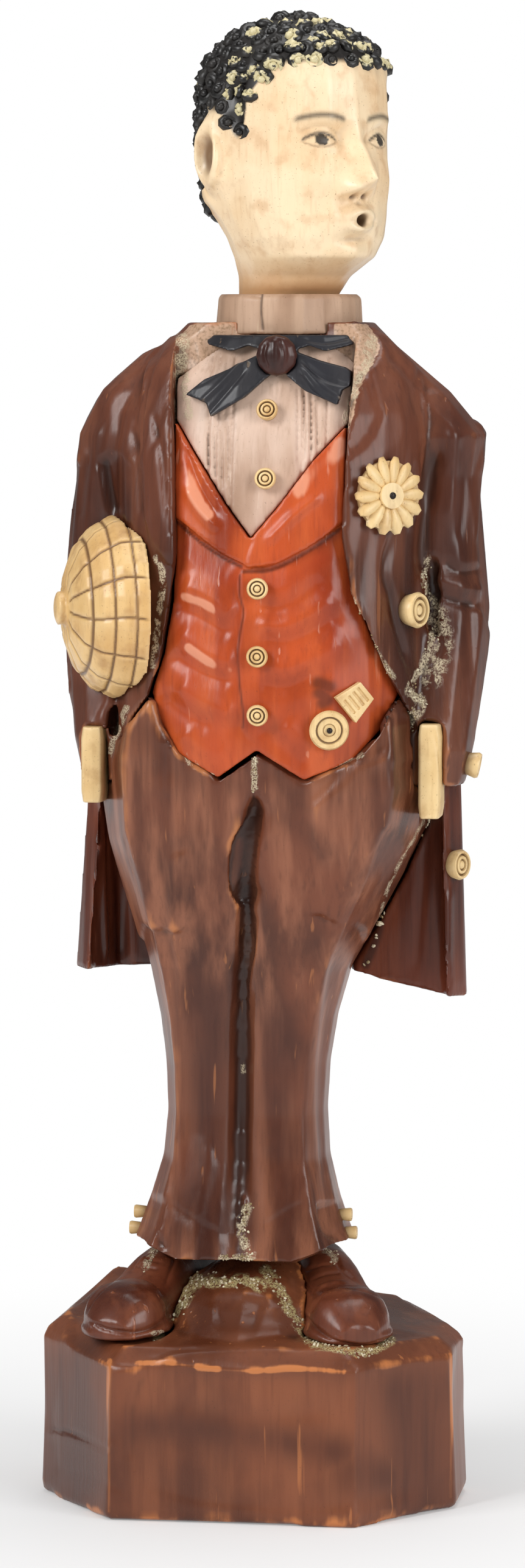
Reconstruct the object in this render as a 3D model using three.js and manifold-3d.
// Whistler automaton: a carved and painted wooden gentleman on a block base, with a turning head.
// A clockwork movement in the hollow trunk turns a tune cam, pumps a small bellows and swings the head.
// The figure faces -Y, +Z is up, and the origin is the middle of the base's underside. Millimetres.
import * as THREE from "three";
import { mergeVertices } from "three/addons/utils/BufferGeometryUtils.js";
import Module from "manifold-3d";

const wasm = await Module();
wasm.setup();

// Clearances
const GAP = 0.3; // between pieces that seat on each other
const RUNNING = 0.15; // round a turning arbor or pin
const FIT = 0.1; // round an arbor that carries a fixed wheel

// Levels of the carved figure, from the table up
const BASE_HEIGHT = 46;
const BASE_EDGE = 6.5; // fall of the wide chamfer round the top of the block
const BASE_FOOT = 2.5; // bevel round its foot
const SHOE_HEIGHT = 17.5;
const LEG_LENGTH = 131.3;
const TRUNK_HEIGHT = 100;
const COLLAR_HEIGHT = 10;
const HEAD_HEIGHT = 81; // from the foot of the neck to the crown
const TRUNK_X = 5.5; // the trunk leans towards +X over the legs
const NECK_SHIFT = 3.3; // the neck stands further over than the trunk
const HEAD_YAW = 46; // degrees, the head at rest looks over its left shoulder

const CUFF_Z = BASE_HEIGHT + SHOE_HEIGHT + 3 * GAP;
const WAIST = CUFF_Z + LEG_LENGTH + GAP;
const COLLAR_SEAT = WAIST + TRUNK_HEIGHT;

// Hollow of the trunk and the cover that closes it from behind
const CAVITY_HALF = 23;
const CAVITY_ROOF = 10; // wood left above it, under the collar
const CAVITY_HEIGHT = TRUNK_HEIGHT - CAVITY_ROOF;
const CAVITY_FRONT = 16; // depth of its front wall before the axis
const COVER_SEAT = 21.5; // depth behind the axis where the cover lands
const COVER_LEDGE = 4;
const SCREW_RADIUS = 1.2;
const SCREW_HEAD = 2;
const SCREW_LENGTH = 14;
const SCREW_SINK = 1.6; // depth of the seat under its head

// Movement frame
const PLATE = 1.2;
const PLATE_HALF = 21.5;
const PLATE_FOOT = 1;
const PLATE_HEIGHT = 54;
const PLATE_SPACE = 24; // between the two plates
const PILLAR_RADIUS = 1.8;
const ARBOR_RADIUS = 1.3;

// Gear train: wheel and pinion teeth and modules, from the barrel to the fly
const BARREL_TEETH = 32;
const CAM_PINION_TEETH = 8;
const BARREL_MODULE = 1;
const CAM_TEETH = 28;
const CRANK_PINION_TEETH = 10;
const CAM_MODULE = 0.9;
const CRANK_TEETH = 24;
const FLY_PINION_TEETH = 8;
const CRANK_MODULE = 0.75;
const WHEEL = 1.4; // thickness of a wheel
const BACKLASH = 0.22; // share of a tooth left free

const BARREL_RADIUS = 13.6;
const BARREL_DEPTH = 13;
const BARREL_WALL = 1.1;
const BARREL_Z = 18.4; // above the waist
const SPRING_TURNS = 4;
const SPRING_STRIP = 0.55;
const TUNE_RADIUS = 13.5;
const TUNE_LIFT = 1.7;
const CRANK_THROW = 3;
const FLY_RADIUS = 5.4;

const NECK_RADIUS = 12.5;
const COLLAR_BORE = NECK_RADIUS + 0.8;
const SHIRT_SET = 0.8; // the shirt lies this far inside the waistcoat's form
const BUTTON_RADIUS = 2.7;
const BUTTON_THICK = 2.2;
const HAT_RADIUS = 24;
const HAT_DEPTH = 18;

// Movement sizes
const FLY_ARBOR = 1;
const WINDING_JOURNAL = 2.2;
const BARREL_CORE = 3.2;
const RATCHET_RADIUS = 6.5;
const CLICK_THICK = 1.6;
const CRANK_DISC = 5.2;
const CRANK_PIN = 1.2;
const ROD_TRAVEL = 2.6; // room in the rod's yoke for the bellows' stroke
const HEAD_CAM = 4;
const HEAD_CAM_OFFSET = 1;
const STOP_REACH = 11; // from the stop's spindle to the crank
const STOP_HANDLE = 11;
const STOP_DROP = 240; // degrees, the way the stop's handle points
const KEY_SQUARE = 3.2;
const KEY_PIPE = 3.2;
const KEY_LOBE = 8;
const KEY_END = 58;
const SQUARE_END = 28;
const LEVER_THICK = 2;
const SPINDLE_RADIUS = 2;
const SPINDLE_ARM = 7;
const SPINDLE_AT = -25; // degrees, the arm's direction with the head at rest
const SPINDLE_SEAT = 16; // how far the spindle enters the neck
const CLICK = [12, 14.5]; // across, above the waist
const FOLLOWER = [16, 58];
const PILLARS = [[-19.4, 6], [19.4, 6], [-3.5, 51.5]];
const TUNE = [0, 0.6, 0.3, 1, 0.5, 0.8, 0.2, 0.7, 0.1, 0.4, 0.9, 0.5]; // lift of each note
const WHISTLE_RADIUS = 3.5;
const WHISTLE_BORE = 2.4;
const WHISTLE = { y: 17.2, low: -20, high: 6 };
const PISTON_END = 14.6;
const BELLOWS = { low: -22, high: -1, hingeY: -14.4, length: 25, thick: 2.4, fork: 32.2, tilt: 24 };
const BELLOWS_LID = CAVITY_HEIGHT - GAP - BELLOWS.thick; // the top board's underside
const BELLOWS_UP = BELLOWS_LID - GAP;
const WHISTLE_UP = BELLOWS_LID - GAP - WHISTLE_RADIUS;

// Dress sizes and places; across is from the trunk's axis and up is from the waist
const COLLAR_RADIUS = 18.6;
const TIE_KNOT = 5.2;
const TIE_ACROSS = 3.5;
const TIE_DROP = 5; // the knot's middle, below the collar's seat
const TIE_UP = TRUNK_HEIGHT - TIE_DROP;
const TIE_PROUD = 2.6;
const TIE_TAILS = [[-20, -14], [18.5, -10.5]]; // their ends, across and up from the knot
const KNOT_PROUD = 3.4;
const KNOT_FLAT = 0.5; // its depth as a share of its height
const HAT_AXIS = new THREE.Vector3(-0.94, -0.34, 0).normalize();
const HAT_RIM = [-29, -12, WAIST + 31.8];
const HAND_WIDTH = 6;
const HAND_DEPTH = 12;
const HAND_Y = -14;
const RIGHT_HAND = { across: 44, low: -17, high: 2 };
const LEFT_HAND = { across: 41, low: -20, high: 3.5 };
const ROSETTE = { across: 30.3, up: 0.605 * TRUNK_HEIGHT, radius: 9.2, thick: 3, petals: 16 };
const WATCH = { across: 17, up: 3, radius: 5, thick: 2.4 };
const FOB = { across: 23.2, up: 10.2, spin: 0.86, length: 7.4, narrow: 5.6, wide: 8.4, thick: 1.8 };
const COAT_BUTTON = { across: 36, up: 0.32 * TRUNK_HEIGHT, radius: 4.5, thick: 3 };
const CUFF_BUTTON = { share: 0.045, radius: 3.3, thick: 2.4, fall: -0.2 };
const ANKLE_BUTTON = { y: -2.5, radius: 1.7, thick: 1.5, sides: 8 };
const LEFT_TAIL = { side: 1, length: 67, out: 0, flare: 2, sweep: 9, fold: 3 };
const RIGHT_TAIL = { side: -1, length: 61, out: 1.6, flare: 4.5, sweep: 1.5, fold: 8 };
const TAIL_TOP = WAIST - GAP;
const COAT_HALF = 42; // half the coat's width at the waist
const TAIL_WIDTH = COAT_HALF + 4.5;
const TAIL_DEPTH = 33.5;
const TAIL_FLARE = 3.5;
const TAIL_PLEAT = 5.5;
const TAIL_VENT = 1.2;
const TAIL_CORNER = 8; // degrees back from the side, where the slanted front corner ends
const TAIL_LAP = 3; // how far that corner reaches before the axis
const TAIL_BUTTON = { drop: 33, radius: 3.9, thick: 2.8 };
const SHIRT_BUTTON_ACROSS = 1.4;
const SHIRT_BUTTONS = [["shirt_button_upper", TIE_UP - 13.6], ["shirt_button_lower", TIE_UP - 30.4]];
const PLEATS = [-13.5, -11.5, -9.5, -7.5, 10, 12, 14, 16]; // across the shirt
const PLEAT_WIDTH = 0.9;
const PLEAT_DEPTH = 0.6;
const VEST_BUTTONS = [
  ["waistcoat_button_top", 37.6],
  ["waistcoat_button_middle", 21],
  ["waistcoat_button_bottom", 6.6],
];
const ANKLE_BUTTONS = [
  ["ankle_button_right_upper", -1, 8.4],
  ["ankle_button_right_lower", -1, 4.2],
  ["ankle_button_left_upper", 1, 8.8],
  ["ankle_button_left_lower", 1, 4.2],
];
const COVER_SCREWS = [-1, 1].map((side) => [side * (CAVITY_HALF + 0.4 * COVER_LEDGE), CAVITY_HEIGHT * 0.45]);

const paint = (colour, roughness, metalness = 0) =>
  new THREE.MeshStandardMaterial({ color: colour, roughness, metalness });
const LOOK = {
  coat: paint(0x4a2a20, 0.42),
  trousers: paint(0x5b3428, 0.42),
  waistcoat: paint(0xa8401d, 0.45),
  shirt: paint(0x8f7766, 0.6),
  tie: paint(0x2b2526, 0.45),
  wood: paint(0x6a3520, 0.4),
  bone: paint(0xd9c193, 0.45),
  skin: paint(0xe0c59a, 0.4),
  brass: paint(0xb48a3c, 0.35, 0.9),
  steel: paint(0x8d8f92, 0.35, 0.9),
  leather: paint(0x7a5a40, 0.8),
  board: paint(0xb08a5e, 0.6),
};

// Solids: closed meshes as manifolds, and back

function solid(geometry) {
  const bare = geometry.index ? geometry.toNonIndexed() : geometry.clone();
  for (const name of Object.keys(bare.attributes)) if (name !== "position") bare.deleteAttribute(name);
  const merged = mergeVertices(bare, 1e-4);
  const corners = merged.index.array;
  const kept = [];
  for (let i = 0; i < corners.length; i += 3) {
    const [a, b, c] = corners.slice(i, i + 3);
    if (a !== b && b !== c && a !== c) kept.push(a, b, c);
  }
  const vertProperties = merged.attributes.position.array;
  return new wasm.Manifold(new wasm.Mesh({ numProp: 3, vertProperties, triVerts: new Uint32Array(kept) }));
}

function geometryOf(manifold) {
  const mesh = manifold.getMesh();
  const geometry = new THREE.BufferGeometry();
  geometry.setAttribute("position", new THREE.BufferAttribute(mesh.vertProperties, 3));
  geometry.setIndex(new THREE.BufferAttribute(mesh.triVerts, 1));
  return geometry;
}

const join = (...parts) => parts.reduce((all, one) => all.add(one));
const cut = (body, ...tools) => tools.reduce((left, tool) => left.subtract(tool), body);

function addPart(parent, name, manifold, material) {
  const mesh = new THREE.Mesh(geometryOf(manifold), material);
  mesh.name = name;
  parent.add(mesh);
  return mesh;
}

// Basic forms. Rods, discs and prisms run along Y, the way the movement's arbors lie.

function block(x0, x1, y0, y1, z0, z1) {
  const box = new THREE.BoxGeometry(x1 - x0, y1 - y0, z1 - z0);
  return solid(box.translate((x0 + x1) / 2, (y0 + y1) / 2, (z0 + z1) / 2));
}

function rodY(radius, y0, y1, x = 0, z = 0, sides = 10) {
  const rod = new THREE.CylinderGeometry(radius, radius, y1 - y0, sides);
  return solid(rod.translate(x, (y0 + y1) / 2, z));
}

function rodZ(radius, z0, z1, x = 0, y = 0, sides = 10) {
  const rod = new THREE.CylinderGeometry(radius, radius, z1 - z0, sides).rotateX(Math.PI / 2);
  return solid(rod.translate(x, y, (z0 + z1) / 2));
}

function rodX(radius, x0, x1, y = 0, z = 0, sides = 10) {
  const rod = new THREE.CylinderGeometry(radius, radius, x1 - x0, sides).rotateZ(Math.PI / 2);
  return solid(rod.translate((x0 + x1) / 2, y, z));
}

// An outline of [x, z] points drawn through the depth y0 to y1
function prismY(outline, y0, y1) {
  const shape = new THREE.Shape(outline.map(([x, z]) => new THREE.Vector2(x, z)));
  const drawn = new THREE.ExtrudeGeometry(shape, { depth: y1 - y0, bevelEnabled: false });
  return solid(drawn.rotateX(Math.PI / 2).translate(0, y1, 0));
}

// A profile of [radius, y] points turned about the Y axis
function turned(profile, sides) {
  return solid(new THREE.LatheGeometry(profile.map(([r, y]) => new THREE.Vector2(r, y)), sides));
}

// A closed skin over rings of equal point count, lowest first, each anticlockwise from above
function loft(rings) {
  const sides = rings[0].length;
  const corners = [];
  for (let level = 0; level + 1 < rings.length; level++) {
    for (let i = 0; i < sides; i++) {
      const a = level * sides + i;
      const b = level * sides + ((i + 1) % sides);
      corners.push(a, b, b + sides, a, b + sides, a + sides);
    }
  }
  const cap = (ring) => THREE.ShapeUtils.triangulateShape(ring.map((p) => new THREE.Vector2(p.x, p.y)), []);
  const top = (rings.length - 1) * sides;
  for (const [a, b, c] of cap(rings[0])) corners.push(a, c, b);
  for (const [a, b, c] of cap(rings.at(-1))) corners.push(top + a, top + b, top + c);
  const geometry = new THREE.BufferGeometry();
  geometry.setFromPoints(rings.flat());
  geometry.setIndex(corners);
  return geometry;
}

// Reads a table of [share of the height, ...sizes] at any share, along a smooth curve
function stations(table) {
  const values = Float32Array.from(table.flatMap((row) => row.slice(1)));
  const shares = table.map((row) => row[0]);
  const curve = new THREE.CubicInterpolant(shares, values, table[0].length - 1);
  return (share) => [...curve.evaluate(share)];
}

const spread = (count, first = 0, last = 1) =>
  Array.from({ length: count }, (_, i) => first + ((last - first) * i) / (count - 1));

const signedPower = (value, power) => Math.sign(value) * Math.abs(value) ** power;

// An oval with flattened sides; the front half and the back half have their own depths
function ovalRing(z, x, y, halfWidth, front, back, power, sides) {
  return spread(sides + 1, 0, 2 * Math.PI).slice(0, -1).map((angle) => {
    const across = signedPower(Math.cos(angle), 2 / power) * halfWidth;
    const along = signedPower(Math.sin(angle), 2 / power);
    return new THREE.Vector3(x + across, y + along * (along < 0 ? front : back), z);
  });
}

// Base block: eight hewn faces, a chamfered edge and a mound of ground between the shoes

// Across, along, and how much higher the hewn top stands there
const BASE_CORNERS = [
  [-32, -37.5, 0],
  [31, -37.5, 0],
  [53, -11, 0],
  [53, 12, 0],
  [37, 36, 3],
  [-12, 41, 7],
  [-45, 30, 9],
  [-55, -5, 1.5],
];
const BASE_GROUND = 0.62; // share of the outline left level under the shoes
const BASE_SLOPE = 0.88; // share where the ground starts to fall off to the edge
const SLOPE_FALL = 1.8;
const MOUND = { x: 0, y: 0, width: 27, depth: 32, sunk: 4, height: 16.6 };

function baseRing(z, share, lift = 0) {
  return BASE_CORNERS.map(([x, y, rise]) => new THREE.Vector3(x * share, y * share, z + rise * lift));
}

function baseBlock(shoes) {
  const hewn = solid(loft([
    baseRing(0, 0.975),
    baseRing(BASE_FOOT, 1),
    baseRing((BASE_FOOT + BASE_HEIGHT - BASE_EDGE) / 2, 0.985),
    baseRing(BASE_HEIGHT - BASE_EDGE, 0.99, 1),
    baseRing(BASE_HEIGHT - SLOPE_FALL, BASE_SLOPE, 1),
    baseRing(BASE_HEIGHT, BASE_GROUND, 0.6),
  ]));
  const rise = stations([[0, 1], [0.35, 0.86], [0.7, 0.6], [1, 0.27]]);
  const { x, y, width, depth, sunk, height } = MOUND;
  const mound = solid(loft(spread(5).map((t) => {
    const [share] = rise(t);
    const z = BASE_HEIGHT - sunk + t * (sunk + height);
    return ovalRing(z, x, y, width * share, depth * share, depth * share, 2, 16);
  })));
  return cut(join(hewn, mound), ...shoes);
}

// Shoes: a flat sole with a rand, a round toe cap and an instep, lofted from heel to toe

const SHOE_LENGTH = 57;
// Each heel's place, and the degrees that its toe points outwards
const RIGHT_SHOE = { x: -18, y: 24.5, splay: 15 };
const LEFT_SHOE = { x: 10, y: 24.5, splay: -20.5 };
const SHOE_PITCH = 2; // degrees that each toe points down
const SHOE_RAND = 2.4;

const shoeForm = stations([
  [0.0, 6.4, 0.72],
  [0.06, 8.6, 0.93],
  [0.3, 9.2, 1],
  [0.5, 9, 0.93],
  [0.66, 9.6, 0.7],
  [0.8, 10.6, 0.74],
  [0.92, 9, 0.62],
  [1.0, 4.6, 0.3],
]);

function shoe({ x, y, splay }, grow = 0) {
  const rings = spread(11).map((t) => {
    const [halfWidth, share] = shoeForm(t);
    const tall = SHOE_HEIGHT * share;
    const along = t * SHOE_LENGTH;
    const ring = [
      [-halfWidth - 0.8 - grow, -grow],
      [halfWidth + 0.8 + grow, -grow],
      [halfWidth + 0.8 + grow, SHOE_RAND],
      [halfWidth + grow, SHOE_RAND + 0.4],
    ];
    for (const angle of spread(7, 0.08 * Math.PI, 0.92 * Math.PI)) {
      const up = SHOE_RAND + 0.4 + (tall - SHOE_RAND - 0.4 + grow) * Math.sin(angle) ** 0.7;
      ring.push([signedPower(Math.cos(angle), 0.8) * (halfWidth + grow), up]);
    }
    ring.push([-halfWidth - grow, SHOE_RAND + 0.4], [-halfWidth - 0.8 - grow, SHOE_RAND]);
    return ring.map(([across, up]) => new THREE.Vector3(across, up, along + (t - 0.5) * 2 * grow));
  });
  const turn = -THREE.MathUtils.degToRad(splay);
  const pitch = THREE.MathUtils.degToRad(SHOE_PITCH);
  const laid = loft(rings).rotateX(Math.PI / 2 + pitch).rotateZ(turn);
  return solid(laid.translate(x, y, BASE_HEIGHT + GAP));
}

// Trousers: both legs in one carving, parted by a groove, with flat hewn planes front and side

const LEG_LEVELS = 12;
const TROUSER_RISE = 1.12; // share of the leg's length, up in the coat's open front
const trouserForm = stations([
  [0.0, -2.5, 28, 21, 23, 0.1],
  [0.05, -2.6, 26.5, 20.4, 22, 0.13],
  [0.14, -2.1, 22.4, 17.8, 19.5, 0.18],
  [0.28, -1.6, 20.5, 16.4, 18, 0.22],
  [0.42, -1.3, 22, 17.4, 19, 0.22],
  [0.55, -0.6, 25.8, 20, 21, 0.19],
  [0.68, 2, 33, 25, 24, 0.13],
  [0.82, 3.4, 40, 29, 26.5, 0.06],
  [0.93, 4.2, 42, 30.5, 27.5, 0.02],
  [1.0, 4.6, 40.5, 31, 28, 0],
  [TROUSER_RISE, 5.5, 38, 31.5, 28, 0],
]);
const LEG_SECTION = [
  [0.14, 0.97],
  [0.34, 1],
  [0.8, 0.9],
  [1, 0.28],
]; // share of the half width, share of the depth

function trousersLoft(levels, first, last, grow = 0) {
  return solid(loft(spread(levels, first, last).map((t) => {
    const [x, halfWidth, front, back, groove] = trouserForm(t);
    const right = LEG_SECTION.map(([w, d]) => [w * (halfWidth + grow), -d * (front + grow)]);
    const rear = LEG_SECTION.map(([w, d]) => [w * (halfWidth + grow), d * (back + grow)]).reverse();
    const half = [...right, ...rear];
    const ring = [
      [0, -(1 - groove) * (front + grow)],
      ...half,
      [0, (1 - groove) * (back + grow)],
      ...half.map(([w, d]) => [-w, d]).reverse(),
    ];
    const z = CUFF_Z + t * LEG_LENGTH;
    return ring.map(([w, d]) => new THREE.Vector3(x + w, d, z));
  })));
}

// Trunk: the coat's outer form, and the fuller form of shirt and waistcoat that shows in its open front

const COAT_POWER = 2.4;
const COAT_TOP = 1.035; // share of the trunk's height where its collar ends
const COAT_LEVELS = 10;
const COAT_SIDES = 22;
const CHEST_LEVELS = 10;
const CHEST_FOOT = -0.12; // share of the trunk's height
const coatForm = stations([
  [0.0, 0, COAT_HALF, 34, 30],
  [0.12, 0, COAT_HALF - 1, 35.5, 30],
  [0.3, 0, COAT_HALF - 2, 36, 30.5],
  [0.5, 0, COAT_HALF - 1.5, 35, 31],
  [0.68, 0.2, COAT_HALF - 0.5, 33, 31],
  [0.8, 0.8, COAT_HALF - 1.5, 30.5, 30],
  [0.9, 1.2, 36.5, 27, 27],
  [0.96, 0.8, 32, 24.5, 25],
  [1.0, 0.8, 28, 22.5, 23.5],
  [COAT_TOP, 1.4, 23.5, 21, 22.5],
]);
const chestForm = stations([
  [CHEST_FOOT, 0, 38, 30.5, 20],
  [0.0, 0, 38, 32, 20],
  [0.12, 0, 38, 33, 20],
  [0.3, 0, 37, 33, 20],
  [0.5, 0, 37, 31.5, 20],
  [0.68, 0.2, 37, 29, 20],
  [0.8, 0.8, 36, 26.5, 20],
  [0.9, 1.8, 33, 23.5, 20],
  [0.96, 2.6, 27, 21, 20],
  [1.0, NECK_SHIFT, 20.5, 19, 19],
]);

function trunkLoft(form, levels, first, last, grow) {
  return solid(loft(spread(levels, first, last).map((t) => {
    const [shift, halfWidth, front, back] = form(t);
    const x = TRUNK_X + shift;
    const z = WAIST + t * TRUNK_HEIGHT;
    return ovalRing(z, x, 0, halfWidth + grow, front + grow, back + grow, COAT_POWER, COAT_SIDES);
  })));
}

const coatTrunk = (grow = 0) => trunkLoft(coatForm, COAT_LEVELS, 0, COAT_TOP, grow);
const chest = (grow) => trunkLoft(chestForm, CHEST_LEVELS, CHEST_FOOT, 1, grow);

// A point of a trunk form's front, at a distance from the trunk's axis and a height above the waist
function frontPoint(form, across, up, proud = 0) {
  const [shift, halfWidth, front] = form(up / TRUNK_HEIGHT);
  const share = Math.min(1, Math.abs(across - shift) / halfWidth);
  const depth = front * (1 - share ** COAT_POWER) ** (1 / COAT_POWER);
  return new THREE.Vector3(TRUNK_X + across, -depth - proud, WAIST + up);
}

function frontNormal(form, across, up) {
  const step = 0.5;
  const here = frontPoint(form, across, up);
  const right = frontPoint(form, across + step, up).sub(here);
  const above = frontPoint(form, across, up + step).sub(here);
  return right.cross(above).normalize();
}

const SLEEVE_DROP = 12; // how far the cuffs hang below the waist
const SHOULDER_DROP = 3; // from the collar's seat to the sleeves' tops
const SLEEVE_LENGTH = SLEEVE_DROP + TRUNK_HEIGHT - SHOULDER_DROP;
const sleeveForm = stations([
  [0.0, 39.2, -8, 9.2, 9],
  [0.05, 39.4, -8, 10.6, 10.2],
  [0.13, 39.6, -5.5, 11.9, 12],
  [0.26, 40.5, -1, 12.5, 14],
  [0.385, 41.5, 3, 12.8, 15],
  [0.52, 41, 2, 12.3, 14],
  [0.7, 39, 1, 12.5, 14],
  [0.8, 37, 0.5, 13, 14.5],
  [0.88, 33.5, 0.5, 12.5, 14],
  [0.94, 29, 0.5, 10.5, 12],
  [1.0, 24.5, 0.5, 7, 8],
]);

const LEFT_SHOULDER = 3.4; // how far its corner stands out

function sleeve(side, grow = 0) {
  return solid(loft(spread(11).map((t) => {
    const [middle, y, halfWidth, depth] = sleeveForm(t);
    const across = middle + (side > 0 ? LEFT_SHOULDER * Math.exp(-(((t - 0.8) / 0.06) ** 2)) : 0);
    const z = WAIST - SLEEVE_DROP + t * SLEEVE_LENGTH + (t - 0.5) * 2 * grow;
    return ovalRing(z, TRUNK_X + side * across, y, halfWidth + grow, depth + grow, depth + grow, 2.2, 12);
  })));
}

// The coat's open front, on its own right and left: narrow at the chest, sweeping away to the hips.
// Points are across, and a share of the trunk's height above the waist.
const OPENING_RIGHT = [[40, -0.16], [36, 0], [27.5, 0.12], [22.5, 0.32], [21.5, 0.54], [23.5, 1.06]];
const OPENING_LEFT = [[42, -0.16], [38, 0.01], [33.5, 0.12], [24, 0.34], [20.5, 0.58], [23, 1.06]];

// The fold where each of its lapels turns back, from the lapel's foot up
const FOLD_RIGHT = [[18, 0.4], [28, 0.5], [31.5, 0.64], [32.5, 0.8], [31, 1]];
const FOLD_LEFT = [[30, 0.06], [30.2, 0.3], [30.6, 0.42], [32, 0.55], [34, 0.7], [36.5, 0.9], [34, 1]];
const FOLD_PROUD = 1;
const FOLD_BACK = -6; // depth where the lapels end

// The hollow where each sleeve parts from the body
const ARM_HOLLOWS = [{ across: 41, up: 0.35, length: 11 }, { across: -39, up: 0.03, length: 6 }];
const HOLLOW = { width: 2.2, depth: 5.5, y: -13 };

// A smooth line through such points, on one side of the trunk and moved outwards
function edgeLine(side, points, out) {
  const bends = points.map(([x, share]) => new THREE.Vector2(x + out, share * TRUNK_HEIGHT));
  return new THREE.SplineCurve(bends).getPoints(8).map((p) => [TRUNK_X + side * p.x, WAIST + p.y]);
}

function openingOutline(inset) {
  return [...edgeLine(1, OPENING_LEFT, -inset), ...edgeLine(-1, OPENING_RIGHT, -inset).reverse()];
}

// The waistcoat's V at the top, the lower edge of its shawl lapels, and its two points at the bottom
const V_FOOT = [-2.2, 0.496];
const NECKLINE = [[-34, 0.95], [-20.4, 0.76], [-8.8, 0.583], V_FOOT, [5.1, 0.583], [13, 0.69], [34, 0.92]];
const LAPEL_EDGE = [[-34, 0.64], [-21.3, 0.55], [-14.3, 0.492], [-2.3, 0.428], [4.6, 0.44], [13.4, 0.485],
  [34, 0.64]];
const LAPEL_PROUD = 1.6;
const HEM = [[-45, 0.3], [-28, 0.125], [-25.6, 0.042], [-21, -0.034], [-10.6, -0.094], [-0.7, -0.024],
  [10.9, -0.098], [22.7, -0.05], [29.3, 0.026], [33, 0.11], [45, 0.26]];

const onTrunk = (points) => points.map(([x, z]) => [TRUNK_X + x, WAIST + z]);
const scaled = (points, rise = 0) => points.map(([x, share]) => [x, share * TRUNK_HEIGHT + rise]);
const FAR = 70; // beyond the figure's front

function frontPanel(grow = 0) {
  return chest(grow).intersect(prismY(openingOutline(GAP), -FAR, -CAVITY_FRONT - GAP));
}

function waistcoat(grow = 0) {
  const top = scaled(NECKLINE, 2 * grow);
  const vest = onTrunk([...top, ...scaled(HEM).reverse()]);
  const band = onTrunk([...top, ...scaled(LAPEL_EDGE, -grow).reverse()]);
  const body = frontPanel(grow).intersect(prismY(vest, -FAR, 0));
  return join(body, frontPanel(LAPEL_PROUD + grow).intersect(prismY(band, -FAR, 0)));
}

function shirtFront() {
  const above = TRUNK_HEIGHT + COLLAR_HEIGHT;
  const bib = onTrunk([...scaled(NECKLINE, 2 * GAP), [NECKLINE.at(-1)[0], above], [NECKLINE[0][0], above]]);
  const half = PLEAT_WIDTH / 2;
  const low = V_FOOT[1] * TRUNK_HEIGHT;
  const lines = PLEATS.map((x) => [[x - half, low], [x + half, low], [x + half, TIE_UP], [x - half, TIE_UP]]);
  const pleats = join(...lines.map((line) => prismY(onTrunk(line), -FAR, 0)));
  const front = frontPanel(-SHIRT_SET).intersect(prismY(bib, -FAR, 0));
  return cut(front, cut(pleats, chest(-SHIRT_SET - PLEAT_DEPTH)));
}

// Movement places, across and above the waist

const polar = ([x, z], length, degrees) => {
  const angle = THREE.MathUtils.degToRad(degrees);
  return [x + length * Math.cos(angle), z + length * Math.sin(angle)];
};
const centres = (module, ...teeth) => (module * (teeth[0] + teeth[1])) / 2;
const CAM_AT = 70; // degrees, the way from each arbor to the next
const CRANK_AT = 190;
const FLY_AT = 120;
const STOP_AT = 205;
const BARREL = [0, BARREL_Z];
const CAM = polar(BARREL, centres(BARREL_MODULE, BARREL_TEETH, CAM_PINION_TEETH), CAM_AT);
const CRANK = polar(CAM, centres(CAM_MODULE, CAM_TEETH, CRANK_PINION_TEETH), CRANK_AT);
const FLY = polar(CRANK, centres(CRANK_MODULE, CRANK_TEETH, FLY_PINION_TEETH), FLY_AT);
const STOP = polar(CRANK, STOP_REACH, STOP_AT);
const FRONT_PLATE_Y = -CAVITY_FRONT + GAP;
const INSIDE = FRONT_PLATE_Y + PLATE; // the front plate's inner face
const REAR_PLATE_Y = INSIDE + PLATE_SPACE;
const BEHIND = REAR_PLATE_Y + PLATE; // the rear plate's outer face
const GREAT_Y = INSIDE + 1;
const CAM_WHEEL_Y = INSIDE + 18.7;
const CRANK_WHEEL_Y = INSIDE + 21.5;
const DISC_Y = BEHIND + GAP;
const DISC_THICK = 1;
const ROD_Y = DISC_Y + DISC_THICK + 1.4; // the bellows rod's front face
const ROD_THICK = 1.8;
const TUNE_Y = ROD_Y + ROD_THICK + 1.3;
const TUNE_THICK = 2.5;

// Coat, with sleeves, the hollow for the movement and the cover that closes it

function coverOutline(grow) {
  const half = CAVITY_HALF + COVER_LEDGE + grow;
  const high = CAVITY_HEIGHT + COVER_LEDGE + grow;
  const corner = 12;
  return onTrunk([[-half, -grow], [half, -grow], [half, high - corner], [half - corner, high],
    [corner - half, high], [-half, high - corner]]);
}

function screwHoles(radius) {
  return COVER_SCREWS.map(([x, z]) => rodY(radius, COVER_SEAT - SCREW_LENGTH, FAR, TRUNK_X + x, WAIST + z));
}

// The coat's lapels, raised from its form out to their folds
function coatLapels(grow = 0) {
  const flaps = [[1, FOLD_LEFT], [-1, FOLD_RIGHT]].map(([side, fold]) => {
    const edge = edgeLine(side, fold, grow);
    const [low, high] = [edge[0][1], edge.at(-1)[1]];
    return prismY([...edge, [TRUNK_X, high], [TRUNK_X, low]], -FAR, FOLD_BACK);
  });
  return coatTrunk(FOLD_PROUD + grow).intersect(join(...flaps));
}

function armHollow({ across, up, length }) {
  const gouge = new THREE.SphereGeometry(1, 10, 8).scale(HOLLOW.width, HOLLOW.depth, length);
  return solid(gouge.translate(TRUNK_X + across, HOLLOW.y, WAIST + up * TRUNK_HEIGHT));
}

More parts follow.
